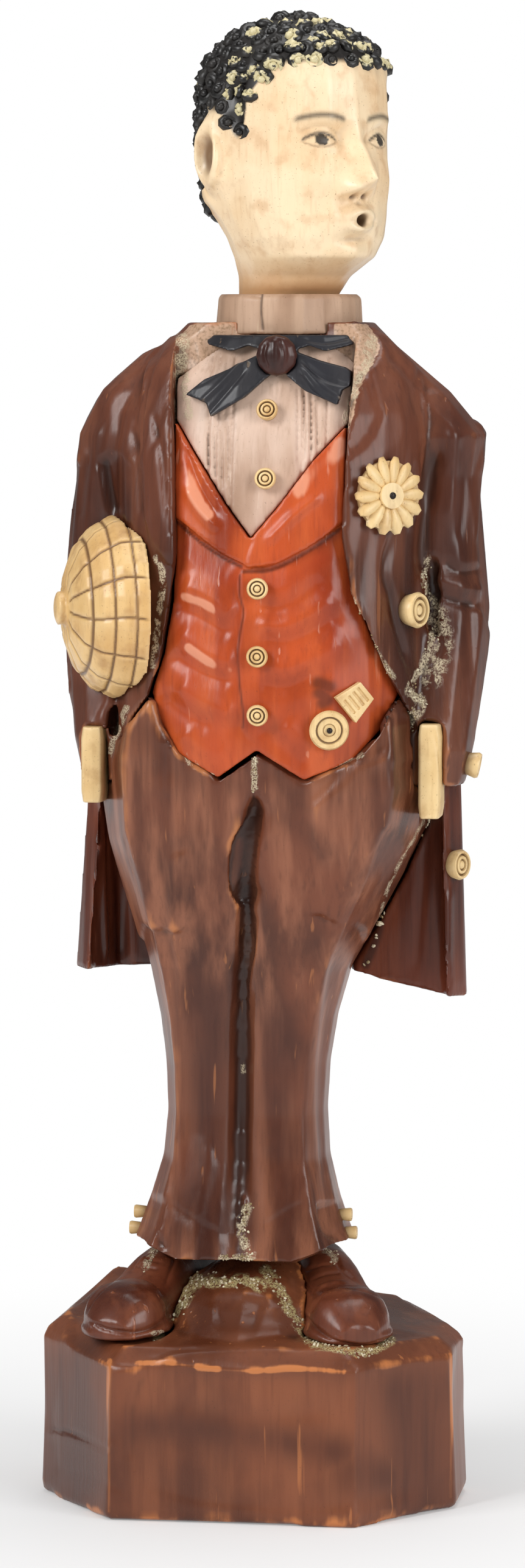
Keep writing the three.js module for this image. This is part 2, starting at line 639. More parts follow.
function coat(hands) {
  const cavity = block(
    TRUNK_X - CAVITY_HALF,
    TRUNK_X + CAVITY_HALF,
    -CAVITY_FRONT,
    COVER_SEAT + GAP,
    WAIST - 1,
    WAIST + CAVITY_HEIGHT,
  );
  return cut(
    join(coatTrunk(), sleeve(1), sleeve(-1), coatLapels()),
    prismY(openingOutline(0), -FAR, -CAVITY_FRONT),
    cavity,
    prismY(coverOutline(GAP), COVER_SEAT, FAR),
    rodZ(SPINDLE_RADIUS + RUNNING, WAIST, COLLAR_SEAT + 1, TRUNK_X + NECK_SHIFT),
    rodZ(COLLAR_RADIUS + GAP, COLLAR_SEAT, COLLAR_SEAT + FAR, TRUNK_X + NECK_SHIFT, 0, 32),
    ...ARM_HOLLOWS.map(armHollow),
    ...screwHoles(SCREW_RADIUS),
    ...hands,
  );
}

function backDepth([across, up]) {
  const [shift, halfWidth, , back] = coatForm(up / TRUNK_HEIGHT);
  return back * (1 - (Math.abs(across - shift) / halfWidth) ** COAT_POWER) ** (1 / COAT_POWER);
}

function backCover() {
  const plug = coatTrunk().intersect(prismY(coverOutline(0), COVER_SEAT + GAP, FAR));
  return cut(
    plug,
    rodY(KEY_PIPE + 3 * GAP, 0, FAR, TRUNK_X + BARREL[0], WAIST + BARREL[1], 14),
    rodY(ARBOR_RADIUS + RUNNING, 0, FAR, TRUNK_X + STOP[0], WAIST + STOP[1]),
    ...screwHoles(SCREW_RADIUS),
    ...COVER_SCREWS.map((place) => {
      const [x, z] = [TRUNK_X + place[0], WAIST + place[1]];
      return rodY(SCREW_HEAD + GAP, backDepth(place) - SCREW_SINK, FAR, x, z);
    }),
  );
}

function coverScrew(place) {
  const seat = backDepth(place) - SCREW_SINK + GAP;
  const shank = SCREW_RADIUS - FIT;
  const tip = COVER_SEAT - SCREW_LENGTH + 2;
  const profile = [[0, tip], [shank, tip + 2], [shank, seat], [SCREW_HEAD, seat], [SCREW_HEAD, seat + 0.6],
    [0, seat + 1.6]];
  const slot = block(-SCREW_HEAD, SCREW_HEAD, seat + 0.9, seat + 3, -0.35, 0.35);
  return cut(turned(profile, 10), slot).translate(TRUNK_X + place[0], 0, WAIST + place[1]);
}

// Coat tails: a solid skirt behind each leg, with a pleat in its front face

// Half width and depth at a share of the length, from the foot up
const tailSize = (t, { out, flare }) => [
  TAIL_WIDTH + out + flare * (1 - t),
  TAIL_DEPTH + TAIL_FLARE * (1 - t),
];

// The slanted front corner: its rear and its front end, across and in depth
function tailCorner(t, skirt) {
  const [wide, deep] = tailSize(t, skirt);
  const angle = THREE.MathUtils.degToRad(TAIL_CORNER);
  return [
    new THREE.Vector2(wide * Math.cos(angle), deep * Math.sin(angle)),
    new THREE.Vector2(wide - TAIL_PLEAT + 0.8, -TAIL_LAP),
  ];
}

function tail(skirt) {
  const { side, length, sweep, fold } = skirt;
  const rings = spread(5).map((t) => {
    const [wide, deep] = tailSize(t, skirt);
    const outer = spread(8, TAIL_CORNER, 88).map((degrees) => {
      const angle = THREE.MathUtils.degToRad(degrees);
      const wave = 0.7 * Math.sin((degrees - TAIL_CORNER) / 7) * (1 - t);
      return [(wide + wave) * Math.cos(angle), (deep + wave) * Math.sin(angle)];
    });
    const [, front] = tailCorner(t, skirt);
    const inner = [
      [TAIL_VENT, deep],
      [TAIL_VENT, 9],
      [wide - 2 * TAIL_PLEAT, fold],
      [wide - TAIL_PLEAT, fold / 4],
      [front.x, front.y],
    ];
    const ring = [...outer, ...inner].map(([x, y]) => {
      const fall = (1 - t) * (length - sweep * (1 - x / wide));
      return new THREE.Vector3(TRUNK_X + side * x, y, TAIL_TOP - fall);
    });
    return side > 0 ? ring : ring.reverse();
  });
  return solid(loft(rings));
}

// Collar, tie, hat and hands

function collar() {
  const top = COLLAR_SEAT + COLLAR_HEIGHT;
  const x = TRUNK_X + NECK_SHIFT;
  const outer = [
    [COLLAR_RADIUS, COLLAR_SEAT + GAP],
    [COLLAR_RADIUS - 0.5, top - 1],
    [COLLAR_RADIUS - 1.4, top],
  ];
  const rings = outer.map(([radius, z]) => ovalRing(z, x, 0, radius, radius, radius, 2, 20));
  const bore = rodZ(COLLAR_BORE, COLLAR_SEAT, top + 1, x, 0, 20);
  return cut(solid(loft(rings)), bore);
}

function tieKnot(grow = 0) {
  const ball = new THREE.SphereGeometry(TIE_KNOT + grow, 12, 8).scale(1, KNOT_FLAT + grow / TIE_KNOT, 1);
  const { x, y, z } = frontPoint(chestForm, TIE_ACROSS, TIE_UP, KNOT_PROUD);
  return solid(ball.translate(x, y, z));
}

// Half the band that lies under the collar: a leaf, across and up from the knot
const TIE_LEAF = [[0, 0], [7.6, 2.4], [11.7, 1], [18, 2.6], [20.5, 6], [20.5, 9], [0, 9]];

function tieTail(end) {
  const outline = [[0, -2.4], [0.5, -4], [0.9, -3.2], [0.86, 0.6], [1, 5.2], [0.75, 5.6], [0.45, 4],
    [0, 2.4]];
  const side = Math.sign(end[0]);
  const run = new THREE.Vector2(...end);
  const along = run.clone().normalize();
  const points = outline.map(([t, w]) => [
    TIE_ACROSS + run.x * t - along.y * w * side,
    TIE_UP + run.y * t + along.x * w * side,
  ]);
  return prismY(onTrunk(side > 0 ? points : points.reverse()), -FAR, 0);
}

function bowTie() {
  const leaves = [-1, 1].map((side) => {
    const leaf = TIE_LEAF.map(([x, up]) => [TIE_ACROSS + side * x, TIE_UP + up]);
    return prismY(onTrunk(leaf), -FAR, 0);
  });
  const drawn = join(...leaves, ...TIE_TAILS.map(tieTail));
  const cloth = frontPanel(TIE_PROUD).intersect(drawn);
  return cut(cloth, chest(GAP - SHIRT_SET), waistcoat(GAP), tieKnot(GAP));
}

function hat(coatForms) {
  const crown = spread(6, 0, Math.PI / 2).map((angle) => [
    HAT_RADIUS * Math.cos(angle) ** 0.8,
    HAT_DEPTH * Math.sin(angle) ** 0.9,
  ]);
  const nub = [[4.2, HAT_DEPTH - 0.4], [4.2, HAT_DEPTH + 1.4], [2.6, HAT_DEPTH + 2], [0, HAT_DEPTH + 2]];
  const profile = [[0, 0], ...crown.slice(0, -1), ...nub];
  const turn = new THREE.Quaternion().setFromUnitVectors(new THREE.Vector3(0, 1, 0), HAT_AXIS);
  const form = new THREE.LatheGeometry(profile.map(([r, y]) => new THREE.Vector2(r, y)), 18);
  const laid = solid(form.applyQuaternion(turn).translate(...HAT_RIM));
  return cut(laid, ...coatForms);
}

function hand(side, grow = 0) {
  const { across, low, high } = side > 0 ? LEFT_HAND : RIGHT_HAND;
  const x = TRUNK_X + side * across;
  const half = HAND_WIDTH / 2 + grow;
  const rings = [[low, 0.85], [low + 3, 1], [high - 3, 1], [high, 0.85]].map(([up, share], level) => {
    const z = WAIST + up + (level < 2 ? -grow : grow);
    return ovalRing(z, x, HAND_Y, half * share, HAND_DEPTH / 2 + grow, HAND_DEPTH / 2 + grow, 5, 12);
  });
  return solid(loft(rings));
}

// Trim: turned and carved bone, each laid on the surface it decorates

function laidOn(manifold, point, normal, spin = 0) {
  const turn = new THREE.Quaternion().setFromUnitVectors(new THREE.Vector3(0, 1, 0), normal);
  turn.multiply(new THREE.Quaternion().setFromAxisAngle(new THREE.Vector3(0, 1, 0), spin));
  return solid(geometryOf(manifold).applyQuaternion(turn).translate(point.x, point.y, point.z));
}

function button({ radius, thick, sides = 10 }) {
  const profile = [[0, 0], [radius, 0], [radius, thick * 0.7], [radius * 0.86, thick], [radius * 0.66, thick],
    [radius * 0.5, thick * 0.75], [0, thick * 0.75]];
  return turned(profile, sides);
}

// Lays a piece on a trunk form's front; set is how far the surface lies inside the form
function onFront(form, piece, { across, up, spin = 0 }, set = 0) {
  const normal = frontNormal(form, across, up);
  const seat = frontPoint(form, across, up).addScaledVector(normal, GAP - set);
  return laidOn(piece, seat, normal, spin);
}

function rosette() {
  const { radius, thick, petals } = ROSETTE;
  const levels = [
    { z: 0, share: 0.62, flute: 0, lift: 0 },
    { z: 0.9, share: 0.9, flute: 0.09, lift: 0 },
    { z: thick, share: 1, flute: 0.09, lift: 0.35 },
    { z: thick - 0.6, share: 0.5, flute: 0, lift: 0 },
    { z: thick + 0.9, share: 0.4, flute: 0, lift: 0 },
  ];
  const angles = spread(petals * 2 + 1, 0, 2 * Math.PI).slice(0, -1);
  const rings = levels.map(({ z, share, flute, lift }) => angles.map((angle, i) => {
    const wave = (-1) ** i;
    const reach = radius * share * (1 + flute * wave);
    return new THREE.Vector3(reach * Math.cos(angle), reach * Math.sin(angle), z + lift * wave);
  }));
  return solid(loft(rings).rotateX(-Math.PI / 2));
}

function watchFob() {
  const { length, narrow, wide, thick } = FOB;
  const half = length / 2;
  const outline = [[-half, -narrow / 2], [half, -wide / 2], [half, wide / 2], [-half, narrow / 2]];
  const slab = prismY(outline, 0, thick);
  const grooves = spread(4, -0.6 * half, 0.65 * half).map((x) => {
    return block(x - 0.35, x + 0.35, thick - 0.5, thick + 1, -0.4 * narrow, 0.4 * narrow);
  });
  return cut(slab, ...grooves);
}

// Movement pieces, in the trunk's own frame: across, depth, above the waist

const involute = (angle) => Math.tan(angle) - angle;

// Straight-flanked teeth set out from the involute, one of them centred at the given degrees
function gear(teeth, module, toothAt, y0, y1, [x, z]) {
  const pressure = THREE.MathUtils.degToRad(20);
  const pitch = (module * teeth) / 2;
  const ground = pitch * Math.cos(pressure);
  const halfAngle = (radius) => {
    const flank = involute(Math.acos(Math.min(1, ground / radius)));
    return (Math.PI / (2 * teeth)) * (1 - BACKLASH) + involute(pressure) - flank;
  };
  const root = pitch - 1.2 * module;
  const tip = pitch + 0.9 * module;
  const outline = [];
  for (let tooth = 0; tooth < teeth; tooth++) {
    const middle = THREE.MathUtils.degToRad(toothAt) + (2 * Math.PI * tooth) / teeth;
    for (const [radius, flank] of [[root, -1], [tip, -1], [tip, 1], [root, 1]]) {
      const angle = middle + flank * halfAngle(radius);
      outline.push([x + radius * Math.cos(angle), z + radius * Math.sin(angle)]);
    }
  }
  return prismY(outline, y0, y1);
}

const gapAt = (teeth, degrees) => degrees + 180 + 180 / teeth; // a tooth gap faces back along the way

function plate(y, outline, holes, studs) {
  const sheet = prismY(outline, y, y + PLATE);
  const bores = holes.map(([[x, z], radius]) => rodY(radius + RUNNING, y - 1, y + PLATE + 1, x, z));
  const pins = studs.map(([[x, z], radius, end]) => rodY(radius, y + PLATE / 2, end, x, z));
  return join(cut(sheet, ...bores), ...pins);
}

function frontPlate() {
  const top = PLATE_FOOT + PLATE_HEIGHT;
  const outline = [[-PLATE_HALF, PLATE_FOOT], [PLATE_HALF, PLATE_FOOT], [PLATE_HALF, top],
    [-PLATE_HALF, top]];
  const holes = [[BARREL, ARBOR_RADIUS], [CAM, ARBOR_RADIUS], [CRANK, ARBOR_RADIUS], [FLY, FLY_ARBOR]];
  return plate(FRONT_PLATE_Y, outline, holes, []);
}

function rearPlate() {
  const top = PLATE_FOOT + PLATE_HEIGHT;
  const [ear, rise] = FOLLOWER;
  const outline = [[-PLATE_HALF, PLATE_FOOT], [PLATE_HALF, PLATE_FOOT], [PLATE_HALF, top],
    [ear + 3, rise + 3], [ear - 3, rise + 3], [ear - 5, top], [-PLATE_HALF, top]];
  const holes = [[BARREL, WINDING_JOURNAL], [CAM, ARBOR_RADIUS], [CRANK, ARBOR_RADIUS], [FLY, FLY_ARBOR],
    [STOP, ARBOR_RADIUS]];
  const studs = [
    [CLICK, ARBOR_RADIUS, DISC_Y + CLICK_THICK + 0.6],
    [FOLLOWER, ARBOR_RADIUS, TUNE_Y + LEVER_THICK + 0.6],
  ];
  return plate(REAR_PLATE_Y, outline, holes, studs);
}

function springBarrel() {
  const [x, z] = BARREL;
  const drumY = GREAT_Y + WHEEL;
  const wheel = gear(BARREL_TEETH, BARREL_MODULE, CAM_AT, GREAT_Y, drumY, BARREL);
  const drum = rodY(BARREL_RADIUS, drumY - 0.2, drumY + BARREL_DEPTH, x, z, 20);
  const inside = rodY(BARREL_RADIUS - BARREL_WALL, drumY, drumY + BARREL_DEPTH + 1, x, z, 20);
  return cut(join(wheel, drum), inside, rodY(WINDING_JOURNAL + RUNNING, GREAT_Y - 1, drumY + 1, x, z));
}

function mainspring() {
  const [first, last] = [BARREL_CORE + 1.2, BARREL_RADIUS - BARREL_WALL - 0.9];
  const coil = (offset) => spread(SPRING_TURNS * 10 + 1).map((t) =>
    polar(BARREL, first + (last - first) * t + offset, 360 * SPRING_TURNS * t));
  const strip = [...coil(SPRING_STRIP / 2), ...coil(-SPRING_STRIP / 2).reverse()];
  const low = GREAT_Y + WHEEL + GAP;
  return prismY(strip, low, low + BARREL_DEPTH - 3);
}

function windingArbor() {
  const [x, z] = BARREL;
  const drumY = GREAT_Y + WHEEL;
  const teeth = 14;
  const ratchet = spread(teeth + 1, 0, 360).slice(0, -1).flatMap((degrees) => [
    polar(BARREL, RATCHET_RADIUS, degrees),
    polar(BARREL, RATCHET_RADIUS - 1.3, degrees + 4),
  ]);
  const half = KEY_SQUARE / 2;
  return join(
    rodY(ARBOR_RADIUS, FRONT_PLATE_Y + GAP, GREAT_Y - 0.5, x, z),
    rodY(WINDING_JOURNAL, GREAT_Y - 0.6, DISC_Y + 0.2, x, z),
    rodY(BARREL_CORE, drumY + GAP, drumY + BARREL_DEPTH, x, z, 16),
    prismY(ratchet, DISC_Y, DISC_Y + CLICK_THICK),
    block(x - half, x + half, DISC_Y + 0.5, SQUARE_END, z - half, z + half),
  );
}

function windingKey() {
  const [x, z] = BARREL;
  const pipeEnd = SQUARE_END - 4;
  const half = KEY_SQUARE / 2 + GAP / 2;
  const lobeY = KEY_END - KEY_LOBE + 1;
  const lobes = [-1, 1].map((side) => {
    const lobe = rodX(KEY_LOBE, x - 1.6, x + 1.6, lobeY, z + side * KEY_LOBE * 0.95, 14);
    return cut(lobe, rodX(KEY_LOBE * 0.5, x - 3, x + 3, lobeY, z + side * KEY_LOBE * 1.02, 10));
  });
  const shank = rodY(KEY_PIPE, pipeEnd, KEY_END - KEY_LOBE * 0.5, x, z, 16);
  const socket = block(x - half, x + half, pipeEnd - 1, SQUARE_END + GAP, z - half, z + half);
  return cut(join(shank, ...lobes), socket);
}

function click() {
  const [x, z] = CLICK;
  const tip = polar(BARREL, RATCHET_RADIUS + GAP, 40);
  const away = Math.atan2(tip[1] - z, tip[0] - x);
  const at = (along, out) => [
    x + along * Math.cos(away) + out * Math.sin(away),
    z + along * Math.sin(away) - out * Math.cos(away),
  ];
  const reach = Math.hypot(tip[0] - x, tip[1] - z);
  const beak = prismY([at(0, 0), at(0, 2.4), at(reach - 2, 2), at(reach, 0)], DISC_Y, DISC_Y + CLICK_THICK);
  const boss = rodY(ARBOR_RADIUS + 1.3, DISC_Y, DISC_Y + CLICK_THICK, x, z);
  return cut(join(beak, boss), rodY(ARBOR_RADIUS + RUNNING, BEHIND - 1, DISC_Y + CLICK_THICK + 1, x, z));
}

function camArbor() {
  const [x, z] = CAM;
  const gapFacing = gapAt(CAM_PINION_TEETH, CAM_AT);
  return join(
    rodY(ARBOR_RADIUS, FRONT_PLATE_Y + GAP, TUNE_Y + TUNE_THICK + 0.8, x, z),
    gear(CAM_PINION_TEETH, BARREL_MODULE, gapFacing, GREAT_Y - 0.4, GREAT_Y + WHEEL + 0.4, CAM),
    rodY(HEAD_CAM, INSIDE + 6.5, INSIDE + 12.5, x + HEAD_CAM_OFFSET, z, 16),
  );
}

function camWheel() {
  const [x, z] = CAM;
  const end = CAM_WHEEL_Y + WHEEL;
  const rim = gear(CAM_TEETH, CAM_MODULE, CRANK_AT, CAM_WHEEL_Y, end, CAM);
  return cut(rim, rodY(ARBOR_RADIUS + FIT, CAM_WHEEL_Y - 1, end + 1, x, z));
}

function tuneCam() {
  const [x, z] = CAM;
  const edge = TUNE.flatMap((note, i) => [3, 15, 27].map((step) => {
    const degrees = (360 / TUNE.length) * i + (step * 12) / TUNE.length;
    return polar(CAM, TUNE_RADIUS + TUNE_LIFT * note, degrees);
  }));
  const disc = prismY(edge, TUNE_Y, TUNE_Y + TUNE_THICK);
  return cut(disc, rodY(ARBOR_RADIUS + FIT, TUNE_Y - 1, TUNE_Y + TUNE_THICK + 1, x, z));
}

function crankArbor() {
  const [x, z] = CRANK;
  const pinionY = CAM_WHEEL_Y - 0.3;
  const gapFacing = gapAt(CRANK_PINION_TEETH, CRANK_AT);
  return join(
    rodY(ARBOR_RADIUS, FRONT_PLATE_Y + GAP, DISC_Y + 0.5, x, z),
    gear(CRANK_PINION_TEETH, CAM_MODULE, gapFacing, pinionY, pinionY + WHEEL + 0.6, CRANK),
    rodY(CRANK_DISC, DISC_Y, DISC_Y + DISC_THICK, x, z, 24),
    rodY(CRANK_PIN, DISC_Y + 0.5, ROD_Y + ROD_THICK + 0.4, x, z + CRANK_THROW),
  );
}

function crankWheel() {
  const [x, z] = CRANK;
  const end = CRANK_WHEEL_Y + WHEEL;
  const rim = gear(CRANK_TEETH, CRANK_MODULE, FLY_AT, CRANK_WHEEL_Y, end, CRANK);
  return cut(rim, rodY(ARBOR_RADIUS + FIT, CRANK_WHEEL_Y - 1, end + 1, x, z));
}

function fly() {
  const [x, z] = FLY;
  const vaneY = INSIDE + 2.5;
  const pinionY = CRANK_WHEEL_Y - 0.3;
  const gapFacing = gapAt(FLY_PINION_TEETH, FLY_AT);
  return join(
    rodY(FLY_ARBOR, FRONT_PLATE_Y + GAP, BEHIND - GAP, x, z),
    gear(FLY_PINION_TEETH, CRANK_MODULE, gapFacing, pinionY, pinionY + WHEEL + 0.6, FLY),
    block(x - FLY_RADIUS, x + FLY_RADIUS, vaneY, CAM_WHEEL_Y - 1, z - 0.4, z + 0.4),
  );
}

// Whistle with its sliding piston, and the lever that reads the tune cam

function whistle() {
  const { y, low, high } = WHISTLE;
  const pipe = rodX(WHISTLE_RADIUS, low, high, y, WHISTLE_UP, 14);
  const bore = rodX(WHISTLE_BORE, low + 4, high + 1, y, WHISTLE_UP, 14);
  const mouth = block(low + 4.5, low + 8, y + 1, y + WHISTLE_RADIUS + 1, WHISTLE_UP - 2, WHISTLE_UP + 2);
  const [flueY, flueHalf] = [y + WHISTLE_BORE, 1.5];
  const flue = block(low - 1, low + 5, flueY - 0.7, flueY, WHISTLE_UP - flueHalf, WHISTLE_UP + flueHalf);
  return cut(pipe, bore, mouth, flue);
}

function piston() {
  const { y, high } = WHISTLE;
  return join(
    rodX(WHISTLE_BORE - 2 * RUNNING, high - 10, high - 5, y, WHISTLE_UP, 12),
    rodX(1, high - 6, PISTON_END - 0.5, y, WHISTLE_UP),
    rodX(2.2, PISTON_END - 1, PISTON_END, y, WHISTLE_UP),
  );
}

function followerLever() {
  const [x, z] = FOLLOWER;
  const nose = [CAM[0], CAM[1] + TUNE_RADIUS + TUNE_LIFT + 0.4];
  const end = TUNE_Y + LEVER_THICK;
  const reader = prismY([nose, [x, z - 1.4], [x, z + 1.4], [nose[0] - 1.4, nose[1] + 3.6]], TUNE_Y, end);
  const arm = block(x - 1, x + 1, TUNE_Y, end, z, WHISTLE_UP + 1.5);
  const boss = rodY(ARBOR_RADIUS + 1.3, TUNE_Y, end, x, z);
  return cut(join(reader, arm, boss), rodY(ARBOR_RADIUS + RUNNING, TUNE_Y - 1, end + 1, x, z));
}

// Bellows: a fixed top board, a hinged lower board with a fork, leather between, and the rod to the crank

const tilted = (y, z) => {
  const angle = THREE.MathUtils.degToRad(BELLOWS.tilt);
  return [
    BELLOWS.hingeY + y * Math.cos(angle) + z * Math.sin(angle),
    BELLOWS_UP - y * Math.sin(angle) + z * Math.cos(angle),
  ];
};

// An outline of [y, z] points drawn across from x0 to x1
function prismX(outline, x0, x1) {
  const shape = new THREE.Shape(outline.map(([y, z]) => new THREE.Vector2(y, z)));
  const drawn = new THREE.ExtrudeGeometry(shape, { depth: x1 - x0, bevelEnabled: false });
  return solid(drawn.rotateX(Math.PI / 2).rotateZ(Math.PI / 2).translate(x0, 0, 0));
}

function bellowsTop() {
  const { low, high, thick } = BELLOWS;
  const top = CAVITY_HEIGHT - GAP;
  return block(low, high, BELLOWS.hingeY - 1, WHISTLE.y + WHISTLE_RADIUS, top - thick, top);
}

function bellowsLeather() {
  const { low, high, length } = BELLOWS;
  const lid = BELLOWS_UP;
  const [frontY] = tilted(2, GAP);
  const [rearY, rearZ] = tilted(length - 1, GAP);
  const folds = [0.25, 0.5, 0.75].map((t, i) => [rearY - (i % 2 ? 0 : 2.5), rearZ + (lid - rearZ) * t]);
  const outline = [tilted(2, GAP), [rearY, rearZ], ...folds, [rearY, lid], [frontY, lid]];
  return prismX(outline, low + 0.8, high - 0.8);
}

function bellowsBoard() {
  const { low, high, length, thick, fork } = BELLOWS;
  const x = CRANK[0];
  const outline = [tilted(0, -thick), tilted(length, -thick), tilted(length, 0), tilted(0, 0)];
  const board = prismX(outline, low, high);
  const cheek = [
    tilted(length - 3, -thick),
    tilted(fork + 1.6, -thick),
    tilted(fork + 1.6, 0.4),
    tilted(length - 3, 0),
  ];
  const inner = ROD_THICK / 2 + GAP;
  const cheeks = [-1, 1].map((side) => {
    const [a, b] = [x + side * inner, x + side * (inner + 1.6)];
    return prismX(cheek, Math.min(a, b), Math.max(a, b));
  });
  const [pinY, pinZ] = tilted(fork, -thick / 2);
  return join(board, ...cheeks, rodX(1, x - inner - 1, x + inner + 1, pinY, pinZ));
}

function bellowsRod() {
  const [x, z] = CRANK;
  const [pinY, pinZ] = tilted(BELLOWS.fork, -BELLOWS.thick / 2);
  const end = ROD_Y + ROD_THICK;
  const half = CRANK_THROW + CRANK_PIN + GAP;
  const tall = half + ROD_TRAVEL;
  const yoke = block(x - half - 1.5, x + half + 1.5, ROD_Y, end, z - tall - 1.5, z + tall + 1.5);
  const window = block(x - half, x + half, ROD_Y - 1, end + 1, z - tall, z + tall);
  const bar = block(x - ROD_THICK / 2, x + ROD_THICK / 2, ROD_Y, end, z + tall + 1, pinZ);
  const eye = rodX(2.3, x - ROD_THICK / 2, x + ROD_THICK / 2, pinY, pinZ, 16);
  return cut(join(cut(yoke, window), bar, eye), rodX(1 + RUNNING, x - 3, x + 3, pinY, pinZ));
}

function stopLever() {
  const [x, z] = STOP;
  const reach = STOP_REACH - CRANK_DISC - 0.4;
  const pad = [polar([x, z], 2, STOP_AT - 270), polar([x, z], 2, STOP_AT - 90)];
  const tips = pad.map((corner) => polar(corner, reach, STOP_AT - 180));
  const lever = [polar([x, z], 1.6, STOP_DROP + 90), polar([x, z], 1.6, STOP_DROP - 90)];
  const ends = lever.map((corner) => polar(corner, STOP_HANDLE, STOP_DROP));
  const outside = backDepth(STOP) + 1;
  const knob = new THREE.SphereGeometry(2.4, 8, 6);
  const [kx, kz] = polar([x, z], STOP_HANDLE, STOP_DROP);
  return join(
    rodY(ARBOR_RADIUS, REAR_PLATE_Y, outside + 1, x, z),
    prismY([pad[0], pad[1], tips[1], tips[0]], DISC_Y, DISC_Y + DISC_THICK),
    prismY([lever[0], ends[0], ends[1], lever[1]], outside, outside + 1.8),
    solid(knob.translate(kx, outside + 2, kz)),
  );
}

// Head and neck, in their own frame: facing -Y, the neck's foot at the origin

// Middle, half width, front and back of the neck and head, from the neck's foot to the crown
const HEAD_SIDES = 20;
const HEAD_LEVELS = 18;
const MOUTH = 0.345; // share of the head's height
const MOUTH_FLOOR = 18; // depth before the neck's axis where the hole in the lips ends
const WHISTLE_HOLE = 1.6;
const HAIR = 1.6; // how far the hair stands off the skull
const headForm = stations([
  [0.0, 0, NECK_RADIUS, 11.6, NECK_RADIUS],
  [0.09, 0, 12.3, 11.4, 12.4],
  [0.15, -1, 12.9, 12.5, 12.4],
  [0.18, -3, 13.6, 16.5, 12.4],
  [0.23, -6, 16.2, 24, 12.4],
  [0.3, -6, 19.2, 26.4, 13],
  [0.37, -3, 20.8, 27, 16.5],
  [0.44, -1, 21.6, 27.2, 20.5],
  [0.56, 0, 22.2, 27, 23.4],
  [0.7, 0, 22.4, 26.8, 24],
  [0.82, -0.5, 21.2, 25.2, 22.4],
  [0.91, -1.5, 17, 20.5, 17],
  [0.97, -2, 10, 13, 9],
  [1.0, -2, 3.5, 5.5, 1.5],
]);

function headRing(t) {
  const [middle, halfWidth, front, back] = headForm(t);
  const z = t * HEAD_HEIGHT;
  const near = (value, peak, reach) => Math.exp(-(((value - peak) / reach) ** 2));
  const rising = THREE.MathUtils.smoothstep;
  return ovalRing(z, 0, middle, halfWidth, front + middle, back - middle, 2.15, HEAD_SIDES).map((point) => {
    const facing = rising(-point.y, 6, 16);
    const bridge = rising(t, 0.425, 0.47) * (1 - rising(t, 0.47, 0.6));
    const nose = 6.5 * bridge * near(point.x, 0, 4.4);
    const sockets = -2.4 * near(Math.abs(point.x), 9.5, 5) * near(t, 0.585, 0.045);
    const lips = 1.8 * near(point.x, 0, 7) * near(t, MOUTH, 0.04);
    const chin = 1.2 * near(point.x, 0, 7) * near(t, 0.22, 0.05);
    const behind = rising(point.y, -20, 6);
    const hairline = THREE.MathUtils.lerp(0.82, 0.34, behind);
    const hair = HAIR * rising(t, hairline, hairline + 0.05) * Math.min(1, (1.02 - t) * 12);
    const outward = new THREE.Vector3(point.x, point.y, 0).normalize();
    point.addScaledVector(outward, hair);
    point.y -= facing * (nose + sockets + lips + chin);
    return point;
  });
}

function headBody() {
  const skull = solid(loft(spread(HEAD_LEVELS).map(headRing)));
  const ears = [-1, 1].map((side) => {
    const ear = new THREE.SphereGeometry(1, 8, 6).scale(2.6, 4.8, 8);
    return solid(ear.rotateX(-0.15).rotateZ(side * 0.35).translate(side * 23.2, 2, 0.545 * HEAD_HEIGHT));
  });
  const mouth = rodY(WHISTLE_HOLE, -FAR, -MOUTH_FLOOR, 0, MOUTH * HEAD_HEIGHT);
  const socket = rodZ(SPINDLE_RADIUS + FIT, -1, SPINDLE_SEAT + GAP);
  return cut(join(skull, ...ears), mouth, socket);
}

// Hangs from the neck, in the trunk's frame: a crank arm and a finger that the head cam pushes
function headSpindle() {
  const [fx, fy] = polar([NECK_SHIFT, 0], SPINDLE_ARM, SPINDLE_AT);
  const low = CAM[1] + HEAD_CAM + HEAD_CAM_OFFSET + 0.5;
  const armLow = PLATE_FOOT + PLATE_HEIGHT + 6;
  const arm = block(-1.5, SPINDLE_ARM + 1, -1.5, 1.5, armLow, armLow + 2.6);
  return join(
    rodZ(SPINDLE_RADIUS, armLow, TRUNK_HEIGHT + GAP + SPINDLE_SEAT, NECK_SHIFT),
    arm.rotate([0, 0, SPINDLE_AT]).translate(NECK_SHIFT, 0, 0),
    rodZ(ARBOR_RADIUS, low, armLow + 1, fx, fy),
  );
}

// The assembly

const whistler = new THREE.Group();
whistler.name = "whistler_automaton";
const legs = new THREE.Group();
const dress = new THREE.Group();
const trim = new THREE.Group();
whistler.add(legs, dress, trim);

addPart(whistler, "base_block", baseBlock([shoe(RIGHT_SHOE, GAP), shoe(LEFT_SHOE, GAP)]), LOOK.wood);
addPart(legs, "shoe_right", shoe(RIGHT_SHOE), LOOK.coat);
addPart(legs, "shoe_left", shoe(LEFT_SHOE), LOOK.coat);

const sleevesGrown = [sleeve(1, GAP), sleeve(-1, GAP)];
const handsGrown = [hand(1, GAP), hand(-1, GAP)];
const vestTop = [[HEM.at(-1)[0], TRUNK_HEIGHT], [HEM[0][0], TRUNK_HEIGHT]];
const vestPocket = prismY(onTrunk([...scaled(HEM, -2 * GAP), ...vestTop]), -FAR, -CAVITY_FRONT);
const inOpening = prismY(openingOutline(GAP), -FAR, -CAVITY_FRONT - GAP);
const trouserTop = trousersLoft(3, 0.96, TROUSER_RISE).intersect(inOpening);
const trousersFull = join(trousersLoft(LEG_LEVELS, 0, 1), trouserTop);
const trousers = cut(trousersFull, vestPocket, ...sleevesGrown, ...handsGrown);
addPart(legs, "trousers", trousers, LOOK.trousers);

